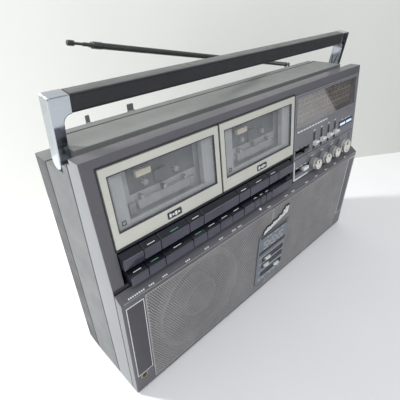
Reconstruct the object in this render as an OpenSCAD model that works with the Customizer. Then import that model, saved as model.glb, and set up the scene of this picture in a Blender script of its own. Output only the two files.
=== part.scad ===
// Twin-cassette portable stereo with a folding carry handle.
// Cabinet axes: X to the viewer's right, Y from the front to the rear with 0 at the main seam
// between the front and rear shells, Z up with 0 at the cabinet's underside.
// stand() moves the cabinet onto its feet, with the whole object's depth centred on Y = 0.

/* [Cabinet] */
// Width of the cabinet
body_w = 530; // [510:1:560]
// Height of the cabinet without its feet
body_h = 319; // [316:1:324]
// Distance from the main seam to the shelf's front edge
shelf_d = 48; // [46:1:50]
// Distance from the main seam to the rear face
rear_d = 84; // [82:0.5:86]
// Distance from the main seam to the rear cover's seam
cover_seam_y = 54; // [50:1:58]
// Wall thickness of the moulded shells
wall = 3; // [2.5:0.1:3.5]
// Height of the rubber feet
foot_h = 3; // [2:0.5:5]

/* [Front] */
// Setback of the upper panel at its top edge, from the main seam
panel_top_y = -23; // [-25:0.5:-21]
// Setback of the upper panel at the shelf, from the main seam
panel_low_y = -36; // [-38:0.5:-35]
// Height of the shelf's rear edge
shelf_back_z = 173; // [172:0.5:174]
// Height of the shelf's front edge
shelf_front_z = 165; // [163:0.5:166]
// Setback of the speaker front at its bottom edge, from the main seam
speaker_low_y = -42; // [-43:0.5:-41]

/* [Cassette doors] */
// Width of each door frame
door_w = 154; // [152:0.5:155]
// Height of each door frame
door_h = 86; // [84:0.5:87]
// Height of the doors' lower edge
door_z = 222.5; // [222:0.5:224]
// Centre of the left door
left_door_x = -173; // [-173.5:0.5:-172.5]
// Centre of the right door
right_door_x = -16; // [-16.5:0.5:-15.5]

/* [Keys] */
// Width of a narrow tape key
key_w = 23; // [22:0.5:23.5]
// Width of a wide tape key
wide_key_w = 42; // [40:0.5:43]
// Width of a program key
program_key_w = 13; // [12:0.5:13.5]
// Gap between neighbouring keys
key_gap = 0.6; // [0.4:0.1:1]

/* [Speakers] */
// Distance of each woofer from the cabinet's middle
woofer_x = 146; // [140:1:150]
// Height of the woofers' centres
woofer_z = 82; // [81:0.5:83]
// Radius of the woofer's front ring
woofer_r = 74; // [70:0.5:75]

/* [Tuner] */
// Left edge of the tuner panel
tuner_x0 = 64; // [63:0.5:66]
// Right edge of the tuner panel
tuner_x1 = 259; // [255:0.5:260]
// Radius of the small rotary knobs
knob_r = 9.5; // [7:0.5:9.5]
// Radius of the tuning knob
tuning_r = 12.5; // [11:0.5:14]
// How far the knobs stand out of the panel
knob_l = 16; // [12:0.5:17]

/* [Handle] */
// Distance of the handle's pivot behind the main seam
pivot_y = 24; // [22:0.5:26]
// Height of the handle's pivot
pivot_z = 307; // [306:0.5:308]
// Forward lean of the raised handle
handle_lean = 8.5; // [5:0.5:10]
// Distance from the pivot to the top of the grip
handle_l = 64; // [62:0.5:66]
// Height of the grip
grip_h = 18; // [16:0.5:19]
// Depth of the grip
grip_d = 16; // [14:0.5:17]
// Depth of the chrome arms
arm_d = 17; // [15:0.5:18]

/* [Antenna] */
// Distance of the antenna behind the main seam
antenna_y = 94; // [93.5:0.5:96]
// Position of the antenna's tilt pin across the cabinet
antenna_x = 218.5; // [200:0.5:230]
// Height of the antenna's tilt pin
antenna_z = 314; // [313:0.5:316]
// Angle at which the antenna stands above level
antenna_rise = 11.4; // [0:0.1:60]
// Length of the outer tube, from the tilt pin
tube_l = 397; // [350:1:400]
// Radius of the outer tube
tube_r = 3.5; // [3:0.1:4]

/* [Batteries] */
// Inside width of the battery compartment
battery_w = 264; // [260:1:268]
// Inside height of the battery compartment
battery_h = 76; // [72:1:78]
// Height of the battery compartment's floor
battery_z = 24; // [22:1:30]
// Depth of the battery compartment
battery_d = 38; // [36:1:40]

/* [Hidden] */
$fn = 64;
half_w = body_w / 2;
panel_tilt = atan((panel_top_y - panel_low_y) / (body_h - shelf_back_z));
speaker_tilt = atan((shelf_d + speaker_low_y) / shelf_front_z);
baffle_low_y = -31;
baffle_tilt = atan((baffle_low_y - panel_low_y) / shelf_back_z);
running = 0.06;
gap = 0.3;
seam = 0.5;
bezel_seam = 0.8;
cover_taper = 1.2;

// Handle recess at each end of the cabinet's top
end_x = 253;
ledge_z = 298;
front_ledge_z = 307;
ledge_y = 13;
groove_z = body_h - 6;
groove_y0 = -5.5;
groove_y1 = 7;
step_y = 68;
step_corner_x = 246.5;
step_corner_y = 61;

// Whole depth, from the knobs' faces to the antenna rests
clip_back_y = antenna_y + 6;
knob_face_y = -52;
stand_y = -(knob_face_y + clip_back_y) / 2;

// Key rows: left edges and widths
lower_x0 = -248;
lower_widths = [key_w, key_w, wide_key_w, key_w, key_w, key_w, key_w];
upper_left_x0 = lower_x0 + key_w + 1;
upper_right_x0 = -71.5;
upper_widths = [key_w, wide_key_w, key_w];
program_x0 = -46;
key_frame_x0 = -250;
key_frame_x1 = 62;
lower_pad_end = 45;
upper_pad_end = 53;
key_pivot_y = -17;
lower_pivot_z = 188;
upper_pivot_z = 208;
key_rod_r = 1.5;
key_back_y = -13.2;

// Tuner controls
tuner_z0 = 174;
tuner_z1 = 308;
dial_x0 = 70;
dial_x1 = 253;
dial_z0 = 258;
dial_z1 = 303;
slider_xs = [121.5, 144, 166.8, 188.3];
slider_z0 = 214;
slider_z1 = 239;
slider_rest_z = 223;
knob_xs = [118, 150, 182];
knob_z = 189.5;
knob_back_y = -1.6;
tuning_x = 215;
tuning_z = 190.5;
meter_at = [94, 220];
band_at = [95, 188.6];
switch_slot_z = 3.3;

// Badge plate with its three slide switches
badge_x0 = -30;
badge_x1 = 46;
badge_z0 = 20;
badge_z1 = 121;
switch_zs = [69, 55, 38];
switch_xs = [-4, -6, 24];
switch_slot_x0 = -14;
switch_slot_x1 = 36;

// Hinge rod of the cassette doors, measured from the panel at the doors' lower edge
door_rod_r = 1.2;
door_rod_y = 1.4;
door_rod_z = 2.4;

// Hinge pin of the battery door
battery_pin_r = 1.2;

// Spindles of the cassette mechanisms
spindle_pitch = 42.5;
spindle_z = 50;

function panel_y(z) = panel_low_y + (z - shelf_back_z) * tan(panel_tilt);
function speaker_y(z) = speaker_low_y - z * tan(speaker_tilt);
function baffle_y(z) = baffle_low_y - z * tan(baffle_tilt);
function sum_to(list, n) = n == 0 ? 0 : list[n - 1] + sum_to(list, n - 1);

// Cabinet axes to the object's own frame
module stand() {
    translate([0, stand_y, foot_h]) children();
}

// A profile drawn as (Y, Z), extruded from x0 to x1
module along_x(x0, x1) {
    translate([x0, 0, 0]) rotate([90, 0, 90]) linear_extrude(x1 - x0) children();
}

// Local frame on the upper panel: X across, Z up the panel, -Y out of it
module on_panel(x, z) {
    translate([x, panel_y(z), z]) rotate([-panel_tilt, 0, 0]) children();
}

// Local frame on the tuner panel, measured from its lower edge
module on_tuner(x, z) {
    on_panel(x, tuner_z0) translate([0, 0, z - tuner_z0]) children();
}

// Local frame on the speaker front
module on_speaker(x, z) {
    translate([x, speaker_y(z), z]) rotate([speaker_tilt, 0, 0]) children();
}

// Local frame on the baffle behind the grille
module on_baffle(x, z) {
    translate([x, baffle_y(z), z]) rotate([baffle_tilt, 0, 0]) children();
}

// A box given by its two corners
module block(low, high) {
    translate(low) cube(high - low);
}

// A cylinder along Y, from y0 to y1
module rod_y(r, y0, y1) {
    translate([0, y0, 0]) rotate([-90, 0, 0]) cylinder(r = r, h = y1 - y0);
}

// A cylinder along X, from x0 to x1
module rod_x(r, x0, x1) {
    translate([x0, 0, 0]) rotate([0, 90, 0]) cylinder(r = r, h = x1 - x0);
}

module both_sides() {
    children();
    mirror([1, 0, 0]) children();
}

// ---- Cabinet shells ----

module front_profile(inset) {
    polygon([
        [inset > 0 ? 1 : -seam, inset],
        [baffle_low_y + inset, inset],
        [panel_low_y + inset, shelf_back_z],
        [panel_top_y + inset * 0.9, body_h - inset],
        [groove_y0 - inset, body_h - inset],
        [groove_y0 - inset, groove_z - inset],
        [inset > 0 ? 1 : -seam, groove_z - inset]
    ]);
}

module door_cut(x) {
    on_panel(x, door_z)
        block([-door_w / 2 - 0.6, -8, -1.7], [door_w / 2 + 0.6, wall + 3, door_h + 0.8]);
}

module front_cabinet() {
    color("dimgray") stand() {
        front_shell();
        on_panel(0, door_z) door_axis()
            rod_x(door_rod_r, left_door_x - door_w / 2 - 2, right_door_x + door_w / 2 + 2);
    }
}

module front_shell() {
    difference() {
        along_x(-half_w, half_w) front_profile(0);
        along_x(-half_w + wall, half_w - wall) front_profile(wall);
        door_cut(left_door_x);
        door_cut(right_door_x);
        block([key_frame_x0 - gap, -60, shelf_back_z + 1], [key_frame_x1 + gap, -25, door_z - 3]);
        on_panel(0, tuner_z0) block([tuner_x0 + 2, -8, 2], [tuner_x1 - 2, 8, tuner_z1 - tuner_z0 - 2]);
        both_sides() on_baffle(woofer_x, woofer_z) rod_y(woofer_r - 7, -6, 8);
    }
}

// From the panel's surface at the doors' lower edge to their hinge rod
module door_axis() {
    translate([0, door_rod_y, door_rod_z]) children();
}

module speaker_bezel() {
    color("dimgray") stand() difference() {
        union() {
            difference() {
                along_x(-half_w, half_w) polygon([
                    [baffle_low_y - bezel_seam, 0],
                    [speaker_low_y, 0],
                    [-shelf_d, shelf_front_z],
                    [panel_low_y - bezel_seam, shelf_back_z]
                ]);
                on_speaker(0, 0) block([-233, -6, 7], [233, 30, 157]);
                on_speaker(0, 0) block([-236.3, -2, 4.2], [236.3, 1.3, 160.8]);
                both_sides() block([237, -42 + wall, wall], [half_w - wall, -20, shelf_front_z - 6]);
            }
            translate([-251, 0, 26]) rod_y(6, -41, -32);
        }
        translate([-251, 0, 26]) rod_y(3.2, -50, -33);
    }
}

module end_recess(inset) {
    both_sides() {
        block([end_x - inset, 1.5 - inset, front_ledge_z - inset], [half_w + 1, step_y + 20, body_h + 5]);
        block([end_x - inset, ledge_y - inset, ledge_z - inset], [half_w + 1, step_y + 20, body_h + 5]);
    }
}

module pivot_pin() {
    translate([0, pivot_y, pivot_z]) rod_x(4, end_x - 1, end_x + 9);
}

module rear_cabinet() {
    color("dimgray") stand() {
        difference() {
            block([-half_w, seam, 0], [half_w, cover_seam_y - seam, body_h]);
            block([-half_w - 1, -1, groove_z], [half_w + 1, groove_y1, body_h + 1]);
            end_recess(0);
            difference() {
                block([-half_w + wall, -1, wall], [half_w - wall, cover_seam_y + 1, body_h - wall]);
                end_recess(wall);
                block([-half_w, -2, groove_z - wall], [half_w, groove_y1 + wall, body_h]);
            }
        }
        both_sides() pivot_pin();
    }
}

module cover_plan(inset) {
    polygon([
        [-half_w + inset, cover_seam_y + (inset > 0 ? -1 : seam)],
        [half_w - inset, cover_seam_y + (inset > 0 ? -1 : seam)],
        [half_w - cover_taper - inset, rear_d - inset],
        [-half_w + cover_taper + inset, rear_d - inset]
    ]);
}

// Room behind the top for the folded handle and its inner corners
module cover_step(inset) {
    block([-half_w - 1, step_y - inset, ledge_z - inset], [half_w + 1, rear_d + 5, body_h + 5]);
    both_sides()
        block([step_corner_x - inset, step_corner_y - inset, ledge_z - inset],
              [half_w + 1, rear_d + 5, body_h + 5]);
}

screw_places = [for (x = [-245, -82, 82, 245]) for (z = [14, 284]) [x, z]];

module vent_slots() {
    for (x = [-215, 155])
        for (i = [0:8])
            block([x, rear_d - 8, 180 + i * 9], [x + 60, rear_d + 2, 183.5 + i * 9]);
}

module antenna_rest(x, w) {
    block([x - w / 2, rear_d - 1, antenna_z - 26], [x + w / 2, clip_back_y, antenna_z - 19]);
    block([x - w / 2, antenna_y - 3, antenna_z - 20], [x + w / 2, clip_back_y, antenna_z - tube_r - 0.8]);
    block([x - w / 2, clip_back_y - 2, antenna_z - 6], [x + w / 2, clip_back_y, antenna_z + 3.5]);
}

module rear_cover() {
    compartment_y = rear_d - battery_d;
    color("dimgray") stand() difference() {
        union() {
            difference() {
                linear_extrude(body_h) cover_plan(0);
                end_recess(0);
                cover_step(0);
                difference() {
                    translate([0, 0, wall]) linear_extrude(body_h - 2 * wall) cover_plan(wall);
                    end_recess(wall);
                    cover_step(wall);
                }
                vent_slots();
            }
            block([-battery_w / 2 - 2, compartment_y - 2, battery_z - 2],
                  [battery_w / 2 + 2, rear_d - 1, battery_z + battery_h + 2]);
            antenna_rest(-190, 5);
            antenna_rest(-129, 9);
            block([antenna_x - 9, rear_d - 1, antenna_z - 34],
                  [antenna_x + 9, clip_back_y - 1, ledge_z - 0.5]);
        }
        block([-battery_w / 2, compartment_y, battery_z],
              [battery_w / 2, rear_d + 1, battery_z + battery_h]);
        battery_pin() rod_x(battery_pin_r + running, -battery_w / 2 - 1.6, battery_w / 2 + 1.6);
        for (p = screw_places) translate([p[0], 0, p[1]]) rod_y(2.1, rear_d - 8, rear_d + 1);
        translate([antenna_x, antenna_y, ledge_z - 13]) cylinder(r = 2.5 + running, h = 20);
    }
}

module case_screws() {
    color("silver") stand() for (p = screw_places) translate([p[0], 0, p[1]]) difference() {
        union() {
            rod_y(2, rear_d - 10, rear_d + 1);
            rod_y(4, rear_d, rear_d + 2);
        }
        translate([0, rear_d + 1.6, 0]) cube([5, 2, 0.9], center = true);
        translate([0, rear_d + 1.6, 0]) cube([0.9, 2, 5], center = true);
    }
}

module feet() {
    color("black") stand()
        for (x = [-228, 228])
            for (y = [-20, 62])
                translate([x, y, -foot_h]) cylinder(r1 = 8.5, r2 = 9.5, h = foot_h);
}

// ---- Speakers ----

module speaker_grille() {
    color("gray") stand() on_speaker(0, 4.5) block([-236, 0, 0], [236, 1.2, 156]);
}

module woofer(x) {
    color("black") stand() on_baffle(x, woofer_z) rotate([-90, 0, 0]) rotate_extrude() polygon([
        [0, 14], [12, 12], [20, 17], [woofer_r - 14, 0], [woofer_r - 9, -3.4],
        [woofer_r, -3.4], [woofer_r, -0.1], [woofer_r - 7.6, -0.1], [woofer_r - 7.6, 3],
        [36, 27], [40, 27], [40, 43], [0, 43]
    ]);
}

// ---- Badge plate and its slide switches ----

module badge_plate() {
    color("slategray") stand() on_speaker(0, 0) difference() {
        block([badge_x0, -1.6, badge_z0], [badge_x1, -0.1, badge_z1]);
        for (z = switch_zs) block([switch_slot_x0, -3, z - 2], [switch_slot_x1, 1, z + 2]);
    }
}

module badge_switch(i) {
    color("silver") stand() on_speaker(switch_xs[i], switch_zs[i]) {
        block([-6, -4.6, -1.7], [6, -0.3, 1.7]);
        block([-4.6, -6, -1.2], [4.6, -4.6, 1.2]);
    }
}

// ---- Cassette mechanisms and doors ----

module deck(x, motor_side) {
    tray_x = door_w / 2 - 4.5;
    color("gainsboro") stand() on_panel(x, door_z) {
        difference() {
            block([-tray_x - 1.5, 4.8, 4], [tray_x + 1.5, 20, door_h - 4]);
            block([-tray_x, 3, 5.5], [tray_x, 17.5, door_h - 5.5]);
            for (s = [-1, 1])
                translate([s * spindle_pitch / 2, 0, spindle_z]) rod_y(2 + running, 0, 30);
        }
        translate([motor_side * 52, 0, 60]) rod_y(14, 20, 42);
        translate([-motor_side * 50, 0, 26]) rod_y(20, 20, 27);
    }
}

module spindle(x, side) {
    color("white") stand() on_panel(x + side * spindle_pitch / 2, door_z)
        translate([0, 0, spindle_z]) {
            rod_y(2, 12, 22);
            rod_y(2.9, 12, 17.2);
            rod_y(6, 20.3, 22);
            for (a = [0:60:179]) rotate([0, a, 0]) block([-4.2, 12.6, -0.6], [4.2, 17.2, 0.6]);
        }
}

module door_frame(x) {
    color("wheat") stand() on_panel(x, door_z) difference() {
        block([-door_w / 2, -1.8, 0], [door_w / 2, 4.2, door_h]);
        block([-door_w / 2 + 7, -4, 16], [door_w / 2 - 7, 6, door_h - 8.5]);
        door_axis() rod_x(door_rod_r + running, -door_w / 2 - 1, door_w / 2 + 1);
    }
}

module door_window(x) {
    color("lightsteelblue", 0.5) stand() on_panel(x, door_z)
        block([-door_w / 2 + 7.1, -0.6, 16.1], [door_w / 2 - 7.1, 1.6, door_h - 8.6]);
}

// ---- Keys ----

module upper_key_profile() {
    polygon([
        [key_back_y, 216.6], [-32.5, 216.2], [-40, 212.2], [-40.6, 211.4], [-40.8, 199.2],
        [key_back_y - 2, 199.2], [key_back_y, 203]
    ]);
}

module lower_key_profile() {
    polygon([
        [key_back_y, 196.4], [-34, 196], [-46, 192.4], [-47, 191.2], [-47.3, 180.6],
        [key_back_y - 2, 180.6], [key_back_y, 184]
    ]);
}

// A key of width w with the bore for its pivot rod at height z
module key_block(x0, w, z) {
    color("midnightblue") stand() difference() {
        along_x(x0 + key_gap / 2, x0 + w - key_gap / 2) children();
        translate([0, key_pivot_y, z]) rod_x(key_rod_r + running, x0 - 1, x0 + w + 1);
    }
}

module lower_key(i) {
    key_block(lower_x0 + sum_to(lower_widths, i), lower_widths[i], lower_pivot_z) lower_key_profile();
}

module program_key(i) {
    key_block(program_x0 + i * program_key_w, program_key_w, lower_pivot_z) lower_key_profile();
}

module upper_key(x0, i) {
    key_block(x0 + sum_to(upper_widths, i), upper_widths[i], upper_pivot_z) upper_key_profile();
}

// Tray behind the keys, their two pivot rods, and the blank pads between and beside the keys
module key_surround() {
    lower_end = lower_x0 + sum_to(lower_widths, 7);
    program_end = program_x0 + 3 * program_key_w;
    upper_left_end = upper_left_x0 + sum_to(upper_widths, 3);
    upper_right_end = upper_right_x0 + sum_to(upper_widths, 3);
    lower_pads = [[lower_end, program_x0], [program_end, lower_pad_end]];
    upper_pads = [
        [key_frame_x0, upper_left_x0], [upper_left_end, upper_right_x0], [upper_right_end, upper_pad_end]
    ];
    back_y = key_back_y + 2.8;
    color("black") stand() {
        block([key_frame_x0, back_y, 176], [key_frame_x1, back_y + 2, 219]);
        block([key_frame_x0, -34, 174.2], [key_frame_x1, back_y + 2, 176.2]);
        block([key_frame_x0, -31, 217.3], [key_frame_x1, back_y + 2, 219.3]);
        for (z = [lower_pivot_z, upper_pivot_z])
            translate([0, key_pivot_y, z]) rod_x(key_rod_r, key_frame_x0, key_frame_x1);
        block([key_frame_x0, key_pivot_y - 3, 175], [lower_x0 - 0.3, back_y + 1, 199]);
        for (pad = lower_pads) {
            along_x(pad[0] + key_gap, pad[1] - key_gap / 2) lower_key_profile();
            block([pad[0] + key_gap, key_back_y - 1.8, 175], [pad[1] - key_gap / 2, back_y + 0.5, 196.4]);
        }
        for (pad = upper_pads) {
            along_x(pad[0] + key_gap / 2, pad[1] - key_gap / 2) upper_key_profile();
            block([pad[0] + key_gap / 2, key_back_y - 1.8, 199.2],
                  [pad[1] - key_gap / 2, back_y + 0.5, 218]);
        }
    }
}

// ---- Tuner panel ----

module tuner_panel() {
    top = tuner_z1 - tuner_z0;
    dial_low = dial_z0 - tuner_z0;
    dial_high = dial_z1 - tuner_z0;
    color("lightslategray") stand() on_panel(0, tuner_z0) difference() {
        union() {
            block([tuner_x0, -1.2, 0], [tuner_x1, -0.1, top]);
            block([tuner_x0 + 2.4, -0.2, 2.4], [tuner_x1 - 2.4, 2.6, top - 2.4]);
            block([dial_x0 - 1.6, 0, dial_low - 1.6], [dial_x1 + 1.6, 7, dial_high + 1.6]);
        }
        block([dial_x0, -3, dial_low], [dial_x1, 5.2, dial_high]);
        for (x = slider_xs) block([x - 1.2, -3, slider_z0 - tuner_z0], [x + 1.2, 5, slider_z1 - tuner_z0]);
        for (x = knob_xs) translate([x, 0, knob_z - tuner_z0]) rod_y(3 + running, -3, 5);
        translate([tuning_x, 0, tuning_z - tuner_z0]) rod_y(3 + running, -3, 5);
        for (slot = [[meter_at[1], 106], [band_at[1], 108]])
            translate([0, 0, slot[0] - tuner_z0])
                block([tuner_x0 + 5, -3, -switch_slot_z], [slot[1], 5, switch_slot_z]);
    }
}

module dial_lens() {
    color("burlywood", 0.4) stand() on_tuner(0, dial_z0)
        block([dial_x0 + 0.15, -1.2, 0.15], [dial_x1 - 0.15, 0.8, dial_z1 - dial_z0 - 0.15]);
}

module dial_pointer() {
    color("orangered") stand() on_tuner((dial_x0 + dial_x1) / 2, dial_z0)
        block([-0.6, 2, 2], [0.6, 3.2, dial_z1 - dial_z0 - 2]);
}

module knob(x, z, r) {
    color("silver") stand() on_tuner(x, z) {
        rod_y(3, -2.5, 12);
        rod_y(r, -knob_l, knob_back_y);
    }
}

module band_slider(i) {
    color("silver") stand() on_tuner(slider_xs[i], slider_rest_z) {
        block([-0.9, -3, -1.6], [0.9, 4, 1.6]);
        along_x(-5, 5) polygon([
            [knob_back_y, -3.6], [-6, -3.6], [-9.5, 1.4], [-7.5, 3.6], [knob_back_y, 3.6]
        ]);
    }
}

module panel_switch(x, z) {
    color("silver") stand() on_tuner(x, z) {
        block([-6, -1, -2], [6, 4, 2]);
        block([-7.5, -6, -2.6], [7.5, -1.6, 2.6]);
        block([-5, -1.7, -1.5], [5, -0.9, 1.5]);
    }
}

// ---- Electronics ----

module main_board() {
    board_y = 34;
    color("darkgreen") stand() {
        block([70, board_y, 178], [250, board_y + 1.6, 290]);
        block([80, board_y + 1.5, 186], [132, board_y + 16, 226]);
        for (x = [150, 170, 190]) translate([x, 0, 200]) rod_y(7, board_y + 1.5, board_y + 16);
        block([150, board_y - 7, 240], [176, board_y + 0.1, 246]);
        block([200, board_y - 7, 212], [232, board_y + 0.1, 228]);
    }
}

// ---- Battery door ----

module battery_pin() {
    translate([0, rear_d - 1.6, battery_z + 2.2]) children();
}

module battery_door() {
    w = battery_w / 2 - 0.4;
    color("dimgray") stand() {
        block([-w, rear_d - 2.8, battery_z + 0.6], [w, rear_d - 0.4, battery_z + battery_h - 0.4]);
        battery_pin() rod_x(battery_pin_r, -battery_w / 2 - 1.2, battery_w / 2 + 1.2);
    }
}

// ---- Handle ----

module on_handle() {
    translate([0, pivot_y, pivot_z]) rotate([handle_lean, 0, 0]) children();
}

module handle_bar() {
    low = handle_l - grip_h;
    inner = end_x + 0.4;
    color("silver") stand() on_handle() difference() {
        union() {
            both_sides() {
                rotate([90, 0, 0]) linear_extrude(arm_d - 0.6, center = true) polygon([
                    [half_w, 0], [half_w, handle_l - 1.5], [half_w - 1.5, handle_l], [245, handle_l],
                    [245, low], [248, low - 0.4], [250.6, low - 1.8], [252.4, low - 4],
                    [inner, low - 7], [inner, 0]
                ]);
                rod_x(arm_d / 2, inner, half_w);
            }
            block([-246, -3, low + 6], [246, 3, low + 12]);
        }
        both_sides() rod_x(4 + running, inner - 1, end_x + 9.4);
    }
}

module handle_grip() {
    low = handle_l - grip_h;
    color("black") stand() on_handle() difference() {
        block([-244.8, -grip_d / 2, low], [244.8, grip_d / 2, handle_l]);
        block([-246, -3.2, low + 5.8], [246, 3.2, low + 12.2]);
    }
}

// ---- Antenna ----

module antenna_knuckle() {
    color("silver") stand() translate([antenna_x, antenna_y, 0]) difference() {
        union() {
            translate([0, 0, ledge_z - 12]) cylinder(r = 2.5, h = 14);
            translate([0, 0, ledge_z - 0.2]) cylinder(r = 4.6, h = 9.5);
            translate([0, 0, antenna_z]) rod_y(4, -4, 4);
            block([-3.5, -4, antenna_z - 9], [3.5, 4, antenna_z]);
        }
        difference() {
            block([-12, -2.2, antenna_z - 5.2], [12, 2.2, antenna_z + 12]);
            translate([0, 0, antenna_z]) rod_y(1.5, -3, 3);
        }
    }
}

module on_antenna() {
    translate([antenna_x, antenna_y, antenna_z]) rotate([0, antenna_rise - 90, 0]) children();
}

module antenna_tube() {
    color("silver") stand() on_antenna() difference() {
        union() {
            intersection() {
                union() {
                    rod_y(3.4, -2, 2);
                    cylinder(r = 3.4, h = 12);
                }
                block([-5, -2, -5], [5, 2, 12]);
            }
            translate([0, 0, 8]) cylinder(r = tube_r, h = tube_l - 8);
        }
        translate([0, 0, 20]) cylinder(r = tube_r - 0.7, h = tube_l);
        rod_y(1.5 + running, -5, 5);
    }
}

module antenna_rod() {
    color("silver") stand() on_antenna() {
        translate([0, 0, 30]) cylinder(r = tube_r - 0.7 - 0.08, h = tube_l - 27);
        translate([0, 0, tube_l + 2]) cylinder(r = 2.1, h = 8);
        translate([0, 0, tube_l + 9]) cylinder(r = 1.5, h = 12);
        translate([0, 0, tube_l + 20]) cylinder(r = 3, h = 7.3);
    }
}

front_cabinet();
speaker_bezel();
rear_cabinet();
rear_cover();
speaker_grille();
badge_plate();
tuner_panel();
dial_lens();
dial_pointer();
key_surround();
deck(left_door_x, 1);  // left_deck
deck(right_door_x, -1);  // right_deck
woofer(-woofer_x);  // left_woofer
woofer(woofer_x);  // right_woofer
main_board();
feet();
case_screws();
door_frame(left_door_x);  // left_door_frame
door_window(left_door_x);  // left_door_window
door_frame(right_door_x);  // right_door_frame
door_window(right_door_x);  // right_door_window
spindle(left_door_x, -1);  // left_supply_spindle
spindle(left_door_x, 1);  // left_takeup_spindle
spindle(right_door_x, -1);  // right_supply_spindle
spindle(right_door_x, 1);  // right_takeup_spindle
handle_bar();
handle_grip();
antenna_knuckle();
antenna_tube();
antenna_rod();
battery_door();
knob(knob_xs[0], knob_z, knob_r);  // volume_knob
knob(knob_xs[1], knob_z, knob_r);  // balance_knob
knob(knob_xs[2], knob_z, knob_r);  // tone_knob
knob(tuning_x, tuning_z, tuning_r);  // tuning_knob
panel_switch(meter_at[0], meter_at[1]);  // meter_switch
panel_switch(band_at[0], band_at[1]);  // band_switch
for (i = [0:2]) badge_switch(i);
for (i = [0:3]) band_slider(i);
for (i = [0:6]) lower_key(i);
for (i = [0:2]) upper_key(upper_left_x0, i);
for (i = [0:2]) upper_key(upper_right_x0, i);
for (i = [0:2]) program_key(i);
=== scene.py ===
"""The looks of a twin-cassette portable stereo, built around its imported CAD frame.

Shapes are drawn in millimetres in the cabinet's own axes: X to the viewer's right, Y to the rear
with 0 at the main seam, Z up with 0 at the cabinet's underside. cabinet() moves them to the frame.
"""
import math

import bmesh
import bpy
from mathutils import Matrix, Vector


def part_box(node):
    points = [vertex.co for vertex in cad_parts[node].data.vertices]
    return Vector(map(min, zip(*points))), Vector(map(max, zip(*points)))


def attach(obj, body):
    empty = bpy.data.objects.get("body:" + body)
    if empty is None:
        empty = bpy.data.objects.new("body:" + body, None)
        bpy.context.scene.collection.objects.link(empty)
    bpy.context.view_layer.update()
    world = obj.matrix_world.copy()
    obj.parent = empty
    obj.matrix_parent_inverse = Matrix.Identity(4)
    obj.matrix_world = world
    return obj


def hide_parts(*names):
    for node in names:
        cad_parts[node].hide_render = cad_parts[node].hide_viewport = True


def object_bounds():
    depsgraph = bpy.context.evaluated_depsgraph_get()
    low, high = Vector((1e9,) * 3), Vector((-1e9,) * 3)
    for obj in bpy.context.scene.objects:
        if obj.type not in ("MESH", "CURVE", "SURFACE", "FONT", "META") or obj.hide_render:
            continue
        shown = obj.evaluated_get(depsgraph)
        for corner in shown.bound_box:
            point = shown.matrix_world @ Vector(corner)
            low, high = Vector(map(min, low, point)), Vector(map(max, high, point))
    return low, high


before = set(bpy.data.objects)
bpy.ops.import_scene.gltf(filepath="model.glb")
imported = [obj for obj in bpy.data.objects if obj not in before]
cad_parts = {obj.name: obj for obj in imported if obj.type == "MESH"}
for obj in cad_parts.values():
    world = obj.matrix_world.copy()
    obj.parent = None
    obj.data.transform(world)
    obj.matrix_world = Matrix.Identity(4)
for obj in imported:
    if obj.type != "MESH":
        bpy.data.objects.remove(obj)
cad_low, cad_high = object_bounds()

# ---- The cabinet's driving dimensions, in millimetres, as in the CAD source ----

MM = 0.001
STAND = Vector((0, -24, 3))
HALF_W = 265
BODY_H = 319
SHELF_BACK_Z = 173
SHELF_FRONT_Z = 165
SHELF_Y = -48
PANEL_LOW_Y = -36
PANEL_TOP_Y = -23
SPEAKER_LOW_Y = -42
BAFFLE_LOW_Y = -31
BEZEL_SEAM = 0.8
COVER_SEAM_Y = 54
REAR_Y = 84
RECESS_X = 253
LEDGE_Z = 298
GROOVE_Z = BODY_H - 6
PANEL_TILT = math.atan((PANEL_TOP_Y - PANEL_LOW_Y) / (BODY_H - SHELF_BACK_Z))
SPEAKER_TILT = math.atan((SPEAKER_LOW_Y - SHELF_Y) / SHELF_FRONT_Z)
BAFFLE_TILT = math.atan((BAFFLE_LOW_Y - PANEL_LOW_Y) / SHELF_BACK_Z)
SHELF_TILT = math.atan((SHELF_BACK_Z - SHELF_FRONT_Z) / (PANEL_LOW_Y - SHELF_Y))

DOOR_W = 154
DOOR_H = 86
DOOR_Z = 222.5
DOOR_X = {"left": -173, "right": -16}
WOOFER_X = 146
WOOFER_Z = 82
TUNER_X0 = 64
TUNER_X1 = 259
TUNER_Z0 = 174
DIAL_X0 = 70
DIAL_X1 = 253
DIAL_Z0 = 258
DIAL_Z1 = 303
SLIDER_Z0 = 214
SLIDER_XS = (121.5, 144, 166.8, 188.3)
SWITCH_ZS = (69, 55, 38)
KNOBS = {"volume_knob": (118, 189.5, 9.5), "balance_knob": (150, 189.5, 9.5),
         "tone_knob": (182, 189.5, 9.5), "tuning_knob": (215, 190.5, 12.5)}
PIVOT_Y = 24
PIVOT_Z = 307
HANDLE_LEAN = math.radians(8.5)
ANTENNA = Vector((218.5, 94, 314))
ANTENNA_RISE = math.radians(11.4)


def cabinet(x=0.0, y=0.0, z=0.0, tilt=0.0):
    """A place in the cabinet, in mm, as a matrix to the frame in metres. tilt turns about X."""
    place = Matrix.Translation(Vector((x, y, z)) + STAND) @ Matrix.Rotation(tilt, 4, "X")
    return Matrix.Scale(MM, 4) @ place


def panel_y(z):
    return PANEL_LOW_Y + (z - SHELF_BACK_Z) * math.tan(PANEL_TILT)


def on_panel(x, z):
    return cabinet(x, panel_y(z), z, -PANEL_TILT)


def on_tuner(x, z):
    return on_panel(x, TUNER_Z0) @ Matrix.Translation((0, 0, z - TUNER_Z0))


def on_speaker(x, z):
    return cabinet(x, SPEAKER_LOW_Y - z * math.tan(SPEAKER_TILT), z, SPEAKER_TILT)


def on_baffle(x, z):
    return cabinet(x, BAFFLE_LOW_Y - z * math.tan(BAFFLE_TILT), z, BAFFLE_TILT)


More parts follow.
